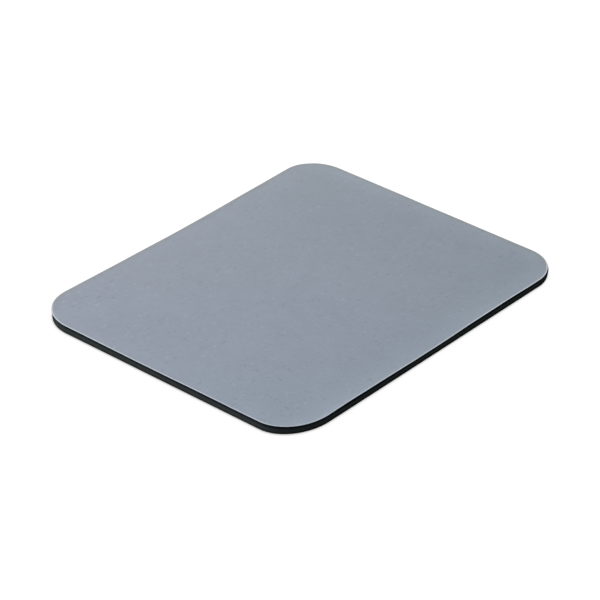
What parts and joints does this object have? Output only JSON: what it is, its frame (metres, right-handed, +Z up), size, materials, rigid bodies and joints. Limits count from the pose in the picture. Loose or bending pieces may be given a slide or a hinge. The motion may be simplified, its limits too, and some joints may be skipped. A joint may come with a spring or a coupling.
{
  "type": "mouse pad",
  "caption": "Flat rectangular mouse pad with round corners: a grey knit cloth glide surface bonded by an adhesive film to a black foam base with a zigzag grip tread underneath.",
  "frame": {"origin": "middle of the underside, on the surface that the pad lies on", "axes": "+X along the long side, +Y along the short side away from the user, +Z up through the cloth"},
  "size_m": [0.25, 0.2, 0.005],
  "materials": {
    "foam": "matte",
    "adhesive": "satin",
    "cloth": "matte"
  },
  "bodies": {
    "root": {"foam_base": "foam", "adhesive_film": "adhesive", "cloth_top": "cloth"}
  },
  "joints": []
}
